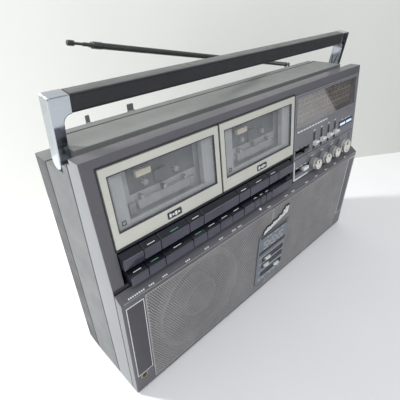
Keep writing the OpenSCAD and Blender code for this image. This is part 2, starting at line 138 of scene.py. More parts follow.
def on_shelf(x):
    """The middle of the shelf at x, with Y up its slope and Z out of it."""
    return cabinet(x, (SHELF_Y + PANEL_LOW_Y) / 2, (SHELF_FRONT_Z + SHELF_BACK_Z) / 2, SHELF_TILT)


def on_handle():
    return cabinet(0, PIVOT_Y, PIVOT_Z, HANDLE_LEAN)


def on_antenna():
    return cabinet(*ANTENNA) @ Matrix.Rotation(ANTENNA_RISE - math.pi / 2, 4, "Y")


# ---- Materials ----

SHADE = (0.012, 0.012, 0.014)


class Look:
    """A procedural material, with short calls for the nodes that the looks share."""

    def __init__(self, name, color, roughness, metallic=0.0):
        self.material = bpy.data.materials.new(name)
        self.material.use_nodes = True
        self.tree = self.material.node_tree
        self.shader = self.tree.nodes["Principled BSDF"]
        self.shader.inputs["Metallic"].default_value = metallic
        self.set("Base Color", (*color, 1))
        self.set("Roughness", roughness)
        self.color = (*color, 1)
        self.base = None
        self.normal = None
        self.place = self.node("ShaderNodeTexCoord").outputs["Object"]

    def node(self, kind, **settings):
        made = self.tree.nodes.new(kind)
        for key, value in settings.items():
            setattr(made, key, value)
        return made

    def link(self, output, target):
        self.tree.links.new(output, target)

    def set(self, socket, value):
        self.shader.inputs[socket].default_value = value

    def along(self, vector, axis):
        """One axis of a vector output."""
        split = self.node("ShaderNodeSeparateXYZ")
        self.link(vector, split.inputs[0])
        return split.outputs[axis]

    def calc(self, operation, *values):
        """A Math node on values, each of them an output or a number."""
        made = self.node("ShaderNodeMath", operation=operation)
        for socket, value in zip(made.inputs, values):
            if isinstance(value, bpy.types.NodeSocket):
                self.link(value, socket)
            else:
                socket.default_value = value
        return made.outputs[0]

    def recolor(self, blend_type, amount, color):
        """Mixes color over the surface so far. amount and color are outputs or plain values."""
        mix = self.node("ShaderNodeMix", data_type="RGBA", blend_type=blend_type)
        mix.inputs[6].default_value = self.color
        layers = ((mix.inputs[0], amount), (mix.inputs[6], self.base), (mix.inputs[7], color))
        for socket, value in layers:
            if isinstance(value, bpy.types.NodeSocket):
                self.link(value, socket)
            elif value is not None:
                socket.default_value = value
        self.base = mix.outputs[2]
        self.link(self.base, self.shader.inputs["Base Color"])
        return self

    def noise(self, size, detail=3.0, stretch=(1, 1, 1)):
        """Noise whose features are about size millimetres, drawn out by stretch along each axis."""
        mapping = self.node("ShaderNodeMapping")
        mapping.inputs["Scale"].default_value = [1 / s for s in stretch]
        self.link(self.place, mapping.inputs["Vector"])
        texture = self.node("ShaderNodeTexNoise")
        texture.inputs["Scale"].default_value = 1 / (size * MM)
        texture.inputs["Detail"].default_value = detail
        self.link(mapping.outputs["Vector"], texture.inputs["Vector"])
        return texture.outputs["Fac"]

    def remap(self, value, low, high, to_low=0.0, to_high=1.0):
        made = self.node("ShaderNodeMapRange")
        made.inputs["From Min"].default_value = low
        made.inputs["From Max"].default_value = high
        made.inputs["To Min"].default_value = to_low
        made.inputs["To Max"].default_value = to_high
        self.link(value, made.inputs["Value"])
        return made.outputs["Result"]

    def tint(self, mask, color):
        """Puts color over what the surface has so far, where mask is high."""
        return self.recolor("MIX", mask, (*color, 1))

    def mottle(self, size, low, high, detail=3.0, stretch=(1, 1, 1)):
        """Turns the colour between low and high times itself, in patches of about size mm."""
        varied = self.remap(self.noise(size, detail, stretch), 0.3, 0.7, low, high)
        return self.recolor("MULTIPLY", 1, varied)

    def polish(self, size, low, high, stretch=(1, 1, 1)):
        """Varies the roughness between low and high."""
        varied = self.remap(self.noise(size, 1, stretch), 0.25, 0.75, low, high)
        self.link(varied, self.shader.inputs["Roughness"])
        return self

    def grain(self, size, depth, stretch=(1, 1, 1), detail=2.0):
        """Raises the surface by up to depth millimetres, in grains of about size millimetres."""
        made = self.node("ShaderNodeBump")
        made.inputs["Distance"].default_value = depth * MM
        self.link(self.noise(size, detail, stretch), made.inputs["Height"])
        if self.normal is not None:
            self.link(self.normal, made.inputs["Normal"])
        self.normal = made.outputs["Normal"]
        self.link(self.normal, self.shader.inputs["Normal"])
        return self

    def facing(self, axis, low, high):
        """A mask of the faces turned towards an axis, from low to high along it."""
        normal = self.node("ShaderNodeNewGeometry").outputs["True Normal"]
        return self.remap(self.along(normal, axis), low, high)

    def sides(self):
        """A mask of the faces turned to the left or to the right."""
        normal = self.node("ShaderNodeNewGeometry").outputs["True Normal"]
        return self.remap(self.calc("ABSOLUTE", self.along(normal, "X")), 0.6, 0.8)

    def below(self, height):
        """A mask of what lies lower than height metres."""
        return self.remap(self.along(self.place, "Z"), height, height - MM)

    def seam(self, y, lean=0.0, half=1.35):
        """Paints shade on the lips of a seam at y mm in the cabinet, leaning by slope as it rises.
        """
        slope = math.tan(lean)
        height = self.along(self.place, "Z")
        upright = self.calc("MULTIPLY_ADD", height, slope, self.along(self.place, "Y"))
        away = self.calc("SUBTRACT", upright, (y + STAND.y + STAND.z * slope) * MM)
        distance = self.calc("ABSOLUTE", away)
        return self.tint(self.remap(distance, (half + 0.15) * MM, half * MM, 0, 0.9), SHADE)

    def wear(self, color, size=2.0, start=0.7):
        """Small rubbed specks."""
        return self.tint(self.remap(self.noise(size, 6), start, start + 0.08, 0, 0.3), color)


def shell_look():
    """Moulded grey plastic with a fine spark-eroded grain, its sides tinted darker as painted
    shade.
    """
    look = Look("shell_plastic", (0.187, 0.193, 0.188), 0.45)
    look.set("Specular IOR Level", 0.25)
    # Painted shade: faces turned left or right are tinted darker than the top.
    look.tint(look.sides(), (0.160, 0.168, 0.174)).mottle(90, 0.95, 1.05).mottle(6, 0.97, 1.03)
    # Painted shade along the main seam and the cover's seam.
    look.seam(0).seam(COVER_SEAM_Y)
    return look.polish(25, 0.38, 0.52).grain(0.7, 0.03).grain(6, 0.02).material


def cover_look():
    look = Look("cover_plastic", (0.170, 0.174, 0.176), 0.5)
    look.set("Specular IOR Level", 0.25)
    # Painted shade: the cover's left and right faces are tinted much darker than the rest.
    look.tint(look.sides(), (0.074, 0.077, 0.083))
    look.mottle(80, 0.9, 1.08)
    # Painted shade along the cover's seam.
    return look.seam(COVER_SEAM_Y).polish(25, 0.42, 0.6).grain(0.8, 0.05).material


def lacquer(name):
    """Dark satin lacquer, with its left and right faces tinted paler as painted light."""
    look = Look(name, (0.105, 0.102, 0.115), 0.3)
    look.set("Specular IOR Level", 0.35)
    # Painted light: faces turned left or right get a paler colour than the front.
    look.tint(look.sides(), (0.205, 0.215, 0.232)).mottle(70, 0.94, 1.07).mottle(4, 0.97, 1.03)
    return look.grain(0.6, 0.004).grain(9, 0.01)


def front_look():
    """The lacquer, with flat black on the baffle behind the grille, and painted shade along the
    main seam and the bezel's seam.
    """
    look = lacquer("front_lacquer").seam(0).seam(BAFFLE_LOW_Y, BAFFLE_TILT, 0.5)
    baffle = look.calc("MULTIPLY", look.facing("Y", -0.6, -0.9), look.below(0.166))
    return look.tint(baffle, (0.006, 0.006, 0.007)).material


def bezel_look():
    look = lacquer("bezel_lacquer")
    # Painted light: the bezel's left and right faces are tinted paler than its front.
    look.tint(look.sides(), (0.168, 0.176, 0.190))
    # Painted shade along the bezel's seam.
    return look.seam(BAFFLE_LOW_Y - BEZEL_SEAM, BAFFLE_TILT, 0.5).material


def chrome_look():
    look = Look("bright_chrome", (0.46, 0.50, 0.54), 0.08, 1.0)
    look.mottle(14, 0.93, 1.03, 5).wear((0.45, 0.46, 0.48))
    return look.polish(7, 0.05, 0.16).grain(30, 0.03).material


def antenna_look():
    look = Look("antenna_chrome", (0.115, 0.115, 0.115), 0.16, 1.0)
    look.mottle(9, 0.85, 1.05, 5, (5, 1, 1))
    return look.polish(6, 0.10, 0.28, (6, 1, 1)).material


def champagne_look():
    """Satin anodised aluminium, brushed along X."""
    look = Look("champagne_metal", (0.58, 0.58, 0.52), 0.34, 0.35)
    look.mottle(0.5, 0.95, 1.04, 3, (60, 1, 1)).mottle(40, 0.95, 1.03)
    return look.polish(1.2, 0.28, 0.42, (40, 1, 1)).grain(0.4, 0.01, (60, 1, 1)).material


def grille_look():
    look = Look("grille_paint", (0.320, 0.310, 0.312), 0.42, 0.2)
    look.mottle(45, 0.88, 1.1).mottle(3, 0.93, 1.05)
    return look.polish(20, 0.35, 0.5).grain(0.5, 0.01).material


def tuner_look():
    look = Look("tuner_paint", (0.180, 0.180, 0.200), 0.34, 0.3)
    look.mottle(0.5, 0.96, 1.04, 3, (50, 1, 1)).mottle(60, 0.93, 1.06)
    return look.polish(9, 0.3, 0.42).grain(0.4, 0.006, (50, 1, 1)).material


def badge_look():
    look = Look("badge_metal", (0.195, 0.212, 0.245), 0.33, 0.5)
    look.mottle(0.5, 0.93, 1.06, 3, (50, 1, 1)).mottle(30, 0.92, 1.06)
    return look.polish(6, 0.27, 0.4).grain(0.4, 0.008, (50, 1, 1)).material


def key_look():
    """Glossy black keys, their front faces tinted purple-grey as a painted reflection."""
    look = Look("key_plastic", (0.008, 0.009, 0.014), 0.2)
    # Painted reflection: faces turned to the front are tinted purple-grey.
    look.tint(look.facing("Y", -0.7, -0.93), (0.046, 0.044, 0.068)).mottle(30, 0.85, 1.2)
    return look.polish(6, 0.15, 0.26).grain(0.5, 0.004).material


def grip_look():
    """Soft black vinyl, tinted paler on its upward faces."""
    look = Look("grip_vinyl", (0.013, 0.012, 0.018), 0.4)
    # Upward faces get a paler grey.
    look.tint(look.facing("Z", 0.55, 0.95), (0.088, 0.092, 0.088)).mottle(40, 0.85, 1.2)
    return look.polish(8, 0.3, 0.45).grain(0.5, 0.03).material


def dark_look():
    look = Look("dark_plastic", (0.018, 0.018, 0.021), 0.45)
    look.mottle(12, 0.7, 1.4)
    return look.polish(7, 0.35, 0.55).grain(0.6, 0.02).material


def insert_look():
    """Smooth dark insert of the bezel's two ends."""
    look = Look("end_insert", (0.037, 0.035, 0.046), 0.3)
    look.mottle(50, 0.85, 1.15)
    return look.mottle(3, 0.94, 1.06).grain(0.5, 0.004).grain(7, 0.01).material


def cheek_look():
    look = Look("deck_plastic", (0.34, 0.35, 0.35), 0.4)
    look.mottle(20, 0.93, 1.05)
    return look.polish(7, 0.32, 0.48).grain(0.6, 0.012).material


def well_look():
    look = Look("deck_well", (0.050, 0.056, 0.067), 0.35)
    look.mottle(14, 0.9, 1.08)
    return look.polish(7, 0.28, 0.42).grain(0.6, 0.01).material


def silver_look():
    """Metallised faces of the knobs."""
    look = Look("control_silver", (0.82, 0.80, 0.75), 0.2, 0.8)
    look.mottle(5, 0.85, 1.04, 4)
    return look.polish(4, 0.14, 0.3).material


def cap_look():
    """Pale slider caps and emblem, less mirror-like than the knobs."""
    look = Look("cap_silver", (0.84, 0.84, 0.83), 0.26, 0.3)
    look.mottle(4, 0.88, 1.04, 4)
    return look.polish(3, 0.16, 0.32).material


def print_look(name, color):
    """Paint of one colour, as printed marks and small labels have it; also used for painted
    highlights along edges.
    """
    look = Look(name, color, 0.5)
    look.mottle(1.5, 0.75, 1.1, 4)
    return look.polish(2, 0.4, 0.6).material


def dial_look():
    look = Look("dial_back", (0.075, 0.062, 0.055), 0.5)
    look.mottle(30, 0.8, 1.2)
    return look.polish(8, 0.4, 0.6).material


def red_look():
    look = Look("pointer_red", (0.42, 0.12, 0.05), 0.3)
    look.mottle(4, 0.85, 1.05)
    return look.polish(3, 0.25, 0.4).material


def rubber_look():
    look = Look("foot_rubber", (0.022, 0.022, 0.022), 0.75)
    look.mottle(5, 0.7, 1.3)
    return look.polish(4, 0.65, 0.85).grain(1.0, 0.08).material


def steel_look():
    look = Look("screw_steel", (0.42, 0.42, 0.43), 0.3, 1.0)
    look.mottle(2, 0.8, 1.05)
    return look.polish(2, 0.2, 0.45).material


def brass_look():
    look = Look("jack_brass", (0.36, 0.28, 0.18), 0.25, 1.0)
    look.mottle(2, 0.75, 1.05)
    return look.polish(2, 0.18, 0.4).material


def board_look():
    """Green circuit board with pale traces."""
    look = Look("board_green", (0.03, 0.13, 0.05), 0.4)
    look.tint(look.remap(look.noise(3, 1, (5, 1, 1)), 0.52, 0.56), (0.10, 0.26, 0.12))
    return look.polish(5, 0.3, 0.5).grain(2, 0.05).material


def cone_look():
    """Paper cone, with fibres round it."""
    look = Look("cone_paper", (0.045, 0.044, 0.047), 0.75)
    look.mottle(3, 0.75, 1.35, 5)
    return look.polish(5, 0.65, 0.85).grain(1.2, 0.08).material


def ring_look():
    look = Look("speaker_ring", (0.27, 0.27, 0.275), 0.35)
    look.mottle(6, 0.85, 1.05)
    return look.polish(5, 0.25, 0.4).material


def window_look(name, tint, haze, ior):
    """Clear moulded plastic: see-through, with its own sheen and a thin film of dust."""
    look = Look(name, (0.80, 0.82, 0.83), 0.25)
    clear = look.node("ShaderNodeBsdfTransparent")
    clear.inputs["Color"].default_value = (*tint, 1)
    gloss = look.node("ShaderNodeBsdfGlossy")
    gloss.inputs["Roughness"].default_value = 0.04
    gloss.inputs["Color"].default_value = (0.95, 0.96, 0.97, 1)
    fresnel = look.node("ShaderNodeFresnel")
    fresnel.inputs["IOR"].default_value = ior
    outside = look.calc("SUBTRACT", 1, look.node("ShaderNodeNewGeometry").outputs["Backfacing"])
    shine = look.node("ShaderNodeMixShader")
    look.link(look.calc("MULTIPLY", fresnel.outputs[0], outside), shine.inputs[0])
    look.link(clear.outputs[0], shine.inputs[1])
    look.link(gloss.outputs[0], shine.inputs[2])
    dusty = look.node("ShaderNodeMixShader")
    look.link(look.remap(look.noise(16, 5), 0.3, 0.7, haze * 0.6, haze * 1.5), dusty.inputs[0])
    look.link(shine.outputs[0], dusty.inputs[1])
    look.link(look.shader.outputs[0], dusty.inputs[2])
    look.link(dusty.outputs[0], look.tree.nodes["Material Output"].inputs["Surface"])
    return look.material


def lamp_look(name, color, strength):
    look = Look(name, color, 0.3)
    look.mottle(1, 0.85, 1.05)
    look.set("Emission Color", (*color, 1))
    look.set("Emission Strength", strength)
    return look.material


LOOKS = {
    "shell": shell_look(), "cover": cover_look(), "front": front_look(), "bezel": bezel_look(),
    "chrome": chrome_look(), "antenna": antenna_look(), "champagne": champagne_look(),
    "grille": grille_look(), "tuner": tuner_look(), "badge": badge_look(), "key": key_look(),
    "grip": grip_look(), "dark": dark_look(), "insert": insert_look(), "cheek": cheek_look(),
    "well": well_look(), "silver": silver_look(), "cap": cap_look(), "dial": dial_look(),
    "red": red_look(), "rubber": rubber_look(), "steel": steel_look(), "brass": brass_look(),
    "board": board_look(), "cone": cone_look(), "ring": ring_look(),
    "print": print_look("white_print", (0.74, 0.76, 0.78)),
    "green": print_look("green_print", (0.10, 0.42, 0.20)),
    "beige": print_look("dial_print", (0.42, 0.36, 0.29)),
    "label": print_look("deck_label", (0.78, 0.68, 0.52)),
    # The next two looks are painted highlights along the front edges of the keys and of the blank
    # pads.
    "edge": print_look("key_edge", (0.085, 0.083, 0.115)),
    "pad_highlight": print_look("pad_highlight", (0.16, 0.155, 0.20)),
    "lamp": lamp_look("lamp_blue", (0.66, 0.76, 0.95), 0.35),
    "window": window_look("clear_window", (0.95, 0.955, 0.96), 0.05, 1.6),
    "lens": window_look("dial_window", (0.90, 0.86, 0.83), 0.06, 2.8),
}


# ---- Shapes ----

AXES = {
    "x": lambda u, v, t: (t, u, v),
    "y": lambda u, v, t: (u, t, v),
}


class Shape:
    """A mesh drawn in millimetres in a local frame, which becomes one piece of the object."""

    def __init__(self):
        self.mesh = bmesh.new()

    def prism(self, outline, start, end, axis="y"):
        """An outline drawn in the other two axes, drawn out from start to end along axis."""
        to_point = AXES[axis]
        rings = [[self.mesh.verts.new(to_point(u, v, t)) for u, v in outline] for t in (start, end)]
        count = len(outline)
        for i in range(count):
            j = (i + 1) % count
            self.mesh.faces.new((rings[0][i], rings[0][j], rings[1][j], rings[1][i]))
        self.mesh.faces.new(rings[0])
        self.mesh.faces.new(rings[1])
        return self

    def block(self, low, high):
        (x0, y0, z0), (x1, y1, z1) = low, high
        return self.prism([(x0, z0), (x1, z0), (x1, z1), (x0, z1)], y0, y1)

    def slab(self, low, high, corner):
        """A block with rounded corners in X and Z."""
        (x0, y0, z0), (x1, y1, z1) = low, high
        outline = []
        for cx, cz, first in ((x1, z1, 0), (x0, z1, 90), (x0, z0, 180), (x1, z0, 270)):
            for step in range(4):
                angle = math.radians(first + step * 30)
                inner_x = cx - math.copysign(corner, cx - (x0 + x1) / 2)
                inner_z = cz - math.copysign(corner, cz - (z0 + z1) / 2)
                outline.append(
                    (inner_x + corner * math.cos(angle), inner_z + corner * math.sin(angle)))
        return self.prism(outline, y0, y1)

    def frame(self, low, high, width):
        """A flat frame in X and Z, with mitred corners."""
        (x0, y0, z0), (x1, y1, z1) = low, high
        outer = [(x0, z0), (x1, z0), (x1, z1), (x0, z1)]
        inner = [(x0 + width, z0 + width), (x1 - width, z0 + width),
                 (x1 - width, z1 - width), (x0 + width, z1 - width)]
        for i in range(4):
            j = (i + 1) % 4
            self.prism([outer[i], outer[j], inner[j], inner[i]], y0, y1)
        return self

    def lathe(self, profile, centre=(0, 0, 0), steps=48, ribs=None):
        """Turns a profile of (radius, y) about the line along Y through centre. ribs is (first,
        last, depth): between those points of the profile every other step stands in by depth."""
        cx, cy, cz = centre
        rings = []
        for index, (radius, y) in enumerate(profile):
            ring = []
            for step in range(steps):
                inset = ribs[2] if ribs and ribs[0] <= index <= ribs[1] and step % 2 else 0
                angle = 2 * math.pi * step / steps
                r = max(radius - inset, 0.001)
                point = (cx + r * math.cos(angle), cy + y, cz + r * math.sin(angle))
                ring.append(self.mesh.verts.new(point))
            rings.append(ring)
        for lower, upper in zip(rings, rings[1:]):
            for i in range(steps):
                j = (i + 1) % steps
                self.mesh.faces.new((lower[i], lower[j], upper[j], upper[i]))
        return self

    def done(self, name, place, body, look, bevel=0.0, smooth=35, slot=None):
        """Makes the piece, in metres, and lets it ride on its body."""
        bmesh.ops.remove_doubles(self.mesh, verts=self.mesh.verts, dist=1e-5)
        bmesh.ops.recalc_face_normals(self.mesh, faces=self.mesh.faces)
        self.mesh.transform(place)
        data = bpy.data.meshes.new(name)
        self.mesh.to_mesh(data)
        self.mesh.free()
        data.shade_smooth()
        data.set_sharp_from_angle(angle=math.radians(smooth))
        data.materials.append(LOOKS[look])
        piece = bpy.data.objects.new(name, data)
        bpy.context.scene.collection.objects.link(piece)
        if bevel:
            add_bevel(piece, bevel)
        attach(piece, body)
        return piece


def add_bevel(piece, width, segments=2):
    made = piece.modifiers.new("edges", "BEVEL")
    made.width = width * MM
    made.segments = segments
    made.limit_method = "ANGLE"
    made.angle_limit = math.radians(35)
    made.use_clamp_overlap = False
    made.harden_normals = False
    return made


def dress(node, look, bevel=0.0, segments=2):
    """Gives a CAD node its material, and softens its edges by bevel millimetres."""
    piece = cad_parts[node]
    piece.data.materials.clear()
    piece.data.materials.append(LOOKS[look])
    if bevel:
        weld = piece.modifiers.new("weld", "WELD")
        weld.merge_threshold = 0.01 * MM
        add_bevel(piece, bevel, segments)
    return piece


# ---- CAD nodes that keep their shape ----

def dress_frame():
    dress("front_cabinet", "front", 0.6, 3)
    dress("speaker_bezel", "bezel", 0.6)
    dress("rear_cabinet", "shell", 0.6, 3)
    dress("rear_cover", "cover", 0.6, 3)
    dress("battery_door", "cover", 0.6)
    dress("badge_plate", "badge", 0.3)
    dress("tuner_panel", "tuner", 0.3)
    dress("dial_lens", "lens", 0.2)
    dress("dial_pointer", "red")
    dress("key_surround", "key", 0.5)
    dress("main_board", "board")
    dress("feet", "rubber", 0.6)
    dress("case_screws", "steel", 0.2)
    dress("handle_bar", "chrome", 1.1, 3)
    dress("antenna_knuckle", "chrome", 0.4)
    dress("antenna_tube", "antenna", 0.3)
    dress("antenna_rod", "antenna", 0.4)
    for side in DOOR_X:
        dress(f"{side}_deck", "cheek", 0.4)
        dress(f"{side}_door_frame", "champagne", 0.6, 3)
        dress(f"{side}_door_window", "window", 0.3)
        for spool in ("supply", "takeup"):
            dress(f"{side}_{spool}_spindle", "ring", 0.2)
    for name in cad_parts:
        if "_key_" in name:
            dress(name, "key", 0.7, 3)
        if "switch" in name or "band_slider" in name:
            dress(name, "key" if name == "meter_switch" else "cap", 0.4)


# Half the width of a seam's filler, how far it reaches in, and how far it lies under a surface
SEAM = 0.45
FILL = 2
SUNK = 0.3
SIDE_OUT = HALF_W - 0.25
SIDE_IN = HALF_W - FILL
FLOOR_OUT = 0.25
BEZEL_TOP = SHELF_BACK_Z - 0.5


def seams():
    """Dark strips that fill the seams between the shells, just under their surfaces: painted shade
    for the shade inside the gaps.
    """
    ends = ((-SIDE_OUT, -SIDE_IN), (SIDE_IN, SIDE_OUT))
    main = Shape()
    for x0, x1 in ends:
        main.block((x0, -SEAM, FLOOR_OUT), (x1, SEAM, GROOVE_Z - SUNK))
    main.block((-SIDE_IN, -SEAM, FLOOR_OUT), (SIDE_IN, SEAM, FILL))
    main.block((-SIDE_IN, -SEAM, GROOVE_Z - FILL), (SIDE_IN, SEAM, GROOVE_Z - SUNK))
    main.done("main_seam_shade", cabinet(), "cabinet", "dark", slot="key_black")

    y0 = COVER_SEAM_Y - SEAM
    y1 = COVER_SEAM_Y + SEAM
    recess_in = RECESS_X - FILL
    rear = Shape()
    for x0, x1 in ends:
        rear.block((x0, y0, FLOOR_OUT), (x1, y1, LEDGE_Z - SUNK))
    for x0, x1 in ((-SIDE_IN, -recess_in), (recess_in, SIDE_IN)):
        rear.block((x0, y0, LEDGE_Z - FILL), (x1, y1, LEDGE_Z - SUNK))
    for x0, x1 in ((SUNK - RECESS_X, -recess_in), (recess_in, RECESS_X - SUNK)):
        rear.block((x0, y0, LEDGE_Z - SUNK), (x1, y1, BODY_H - SUNK))
    rear.block((-recess_in, y0, BODY_H - FILL), (recess_in, y1, BODY_H - SUNK))
    rear.block((-SIDE_IN, y0, FLOOR_OUT), (SIDE_IN, y1, FILL))
    rear.done("cover_seam_shade", cabinet(), "cabinet", "dark", slot="key_black")

    y0 = 0.06 - BEZEL_SEAM
    y1 = -0.06
    bezel = Shape()
    for x0, x1 in ends:
        bezel.block((x0, y0, SUNK), (x1, y1, BEZEL_TOP))
    bezel.block((-SIDE_IN, y0, SHELF_BACK_Z - FILL), (SIDE_IN, y1, BEZEL_TOP))
    bezel.done("bezel_seam", on_baffle(0, 0), "cabinet", "dark", slot="key_black")


def door_lines():
    """Black rims round the door openings, which are painted shadow lines for the gaps round the
    doors, and the black posts beside the doors.
    """
    for side, x in DOOR_X.items():
        # Each rim is a painted shadow line round a door's opening.
        rim = DOOR_W / 2 + 2
        Shape().frame((-rim, -0.14, -3), (rim, 0.1, DOOR_H + 2.6), 1.3).done(
            f"{side}_opening_shadow_line", on_panel(x, DOOR_Z), "cabinet", "dark", slot="key_black")
    between = (DOOR_X["left"] + DOOR_X["right"]) / 2
    posts = Shape().block((between - 1.2, -0.35, 0), (between + 1.2, 0.1, DOOR_H))
    posts.block((TUNER_X0 - 2.7, -0.5, -46), (TUNER_X0 - 0.2, 0.1, DOOR_H + 0.5))
    posts.done("door_posts", on_panel(0, DOOR_Z), "cabinet", "dark", slot="key_black")


# ---- Speaker front ----

GRILLE_X = 236
GRILLE_Z0 = 4.5
GRILLE_Z1 = 160.5
HOLE_PITCH = 3.2
HOLE_R = 1.3
HOLE_DEPTH = 0.7


def perforated(name, x0, x1):
    """A stretch of the grille from x0 to x1: staggered round holes, each drawn with six sides."""
    shape = Shape()
    mesh = shape.mesh
    row_pitch = HOLE_PITCH * math.sqrt(3) / 2
    columns = round((x1 - x0) / HOLE_PITCH)
    rows = round((GRILLE_Z1 - GRILLE_Z0) / row_pitch)
    cell_r = HOLE_PITCH / math.sqrt(3)
    corners = [(math.sin(math.radians(60 * k)), math.cos(math.radians(60 * k))) for k in range(6)]

    def inside(x, z):
        return min(max(x, x0), x1), min(max(z, GRILLE_Z0), GRILLE_Z1)

    for row in range(rows + 1):
        for column in range(columns + 1):
            cx = x0 + (column + (row % 2) / 2) * HOLE_PITCH
            cz = GRILLE_Z0 + row * row_pitch
            edge = not (x0 + 2 < cx < x1 - 2 and GRILLE_Z0 + 2 < cz < GRILLE_Z1 - 2)
            outer = [inside(cx + cell_r * a, cz + cell_r * b) for a, b in corners]
            if edge:
                ring = [mesh.verts.new((x, 0, z)) for x, z in outer]
                mesh.faces.new(ring)
                continue
            front = [mesh.verts.new((x, 0, z)) for x, z in outer]
            hole = [mesh.verts.new((cx + HOLE_R * a, 0, cz + HOLE_R * b)) for a, b in corners]
            deep = [
                mesh.verts.new((cx + HOLE_R * a, HOLE_DEPTH, cz + HOLE_R * b)) for a, b in corners]
            for i in range(6):
                j = (i + 1) % 6
                mesh.faces.new((front[i], front[j], hole[j], hole[i]))
                mesh.faces.new((hole[i], hole[j], deep[j], deep[i]))
    bmesh.ops.dissolve_degenerate(mesh, dist=1e-4, edges=mesh.edges)
    return shape.done(name, on_speaker(0, 0), "cabinet", "grille", smooth=20, slot="grille_metal")


def grille():
    left = perforated("grille_left", -GRILLE_X, 0)
    perforated("grille_right", 0, GRILLE_X)
    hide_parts("speaker_grille")


def woofer(side, x):
    """A paper cone with its rolled surround, basket and magnet, pale trim rings and a dust cap."""
    at = on_baffle(x, WOOFER_Z)
    roll = [(60.5 + 5 * math.cos(math.radians(a)), 0.5 - 4 * math.sin(math.radians(a)))
            for a in range(0, 181, 20)]
    shape = Shape().lathe([(66, 0), *roll, (55, 3)], steps=72)
    shape.lathe([(55, 2.5), (24, 17), (23, 19)], steps=72)
    for groove in (48, 40, 32):
        y = 2.5 + (55 - groove) * 14.5 / 31
        shape.lathe([(groove + 0.8, y - 0.5), (groove, y - 1.1), (groove - 0.8, y + 0.2)], steps=72)
    magnet = [(66, 0), (66, 4), (38, 27), (40, 27.5), (40, 42.5), (38.5, 43), (0.01, 43)]
    shape.lathe(magnet, steps=72)
    cone = shape.done(f"{side}_cone", at, "cabinet", "cone", slot="speaker_black")
    cap = [(24.5, 16)] + [(24 * math.sin(math.radians(a)), 20 - 14 * math.cos(math.radians(a)))
                          for a in range(70, -1, -10)]
    Shape().lathe(cap, steps=60).done(
        f"{side}_dust_cap", at, "cabinet", "cone", slot="speaker_black")
    ring = Shape()
    outer = [(66.5, 0.5), (67, -8.0), (68.4, -8.8), (72.8, -8.8), (74, -8.0), (74, -0.2)]
    ring.lathe(outer, steps=96)
    inner = [(25, 12.8), (25.4, -6.8), (26, -7.4), (28, -7.4), (28.8, -6.8), (28.8, 13)]
    ring.lathe(inner, steps=72)
    ring.done(f"{side}_trim_ring", at, "cabinet", "cheek", slot="grille_metal")
    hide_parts(f"{side}_woofer")


# For each row of keys: y and z of the tops' front edge, and of a point on the tops with their slope
KEY_EDGE = {"upper": (-40.25, 211.85), "lower": (-46.6, 191.85)}
KEY_TOP = {"upper": (-37.6, 213.55, 28), "lower": (-42.2, 193.62, 16.7)}
GREEN_KEYS = ("lower_key_2", "lower_key_4", "upper_left_key_2")


def key_names():
    return sorted(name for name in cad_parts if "_key_" in name)


def key_row(name):
    return "upper" if name.startswith("upper") else "lower"


def key_highlights():
    """Painted highlights along the front edges of the keys and of the blank pads between them."""
    for name in key_names():
        low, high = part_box(name)
        x0 = low.x / MM + 0.9
        x1 = high.x / MM - 0.9
        y, z = KEY_EDGE[key_row(name)]
        # A painted highlight on each key's front edge.
        Shape().block((x0, y - 0.45, z - 0.25), (x1, y + 0.15, z + 0.3)).done(
            f"{name}_edge", cabinet(), name, "edge", 0.12, slot="key_black")
    # Painted highlights on the blank pads' front edges.
    pads = Shape()
    for x0, x1 in ((-249, -225), (-134.5, -73), (17.5, 52)):
        pads.block((x0, -40.7, 211.6), (x1, -40.1, 212.2))
    for x0, x1 in ((-66, -47), (-5, 44)):
        pads.block((x0, -47.05, 191.6), (x1, -46.45, 192.2))
    pads.done("pad_highlights", cabinet(), "cabinet", "pad_highlight", 0.12, slot="key_black")


INSERT_IN = 238.5
INSERT_OUT = 260
INSERT_Z0 = 33
INSERT_Z1 = 157


def end_panels():
    """The dark inserts at the bezel's two ends, each with a thin pale outline."""
    at = on_speaker(0, 0)
    for side, low, high in (("left", -INSERT_OUT, -INSERT_IN), ("right", INSERT_IN, INSERT_OUT)):
        Shape().slab((low, -0.5, INSERT_Z0), (high, 0.3, INSERT_Z1), 1.5).done(
            f"{side}_end_insert", at, "cabinet", "insert", 0.2, slot="casing_gray")
        lower_corner = (low - 0.7, -0.7, INSERT_Z0 - 0.7)
        upper_corner = (high + 0.7, 0.3, INSERT_Z1 + 0.7)
        Shape().frame(lower_corner, upper_corner, 0.8).done(
            f"{side}_end_outline", at, "cabinet", "print", slot="casing_gray")


def phones_jack():
    at = cabinet(-251, -41, 26)
    ring = [(3.3, 3), (3.3, -2.0), (3.9, -2.6), (5.0, -2.6), (5.7, -2.0), (5.7, 0)]
    Shape().lathe(ring).done("phones_ring", at, "cabinet", "brass", slot="screw_steel")


def shelf_marks():
    """Short printed marks along the shelf, over the keys and controls they name."""
    shape = Shape()
    places = (-251, -243, -237, -224, -205, -170, -138, -112, -87, -75, -9,
              34, 53, 92, 122, 154, 186, 223)
    for x in places:
        for step in range(3):
            start = x - 3.6 + step * 2.6
            shape.block((start, -5.2, -0.1), (start + 1.7, -3.2, 0.12))
    shape.done("shelf_print", on_shelf(0), "cabinet", "print", slot="casing_gray")
    Shape().lathe([(0.01, -1.3), (1.6, -1.0), (2.3, 0.2), (2.3, 1)], steps=24).done(
        "power_lamp", on_shelf(-26) @ Matrix.Rotation(math.pi / 2, 4, "X").inverted(),
        "cabinet", "lamp",
        slot="control_silver")
    # A pale strip along the shelf's front edge: a painted highlight.
    edge = Shape()
    edge.block((-262, -7.25, -0.5), (262, -6.5, 0.2))
    edge.done("shelf_edge_highlight", on_shelf(0), "cabinet", "ring", 0.1, slot="casing_gray")


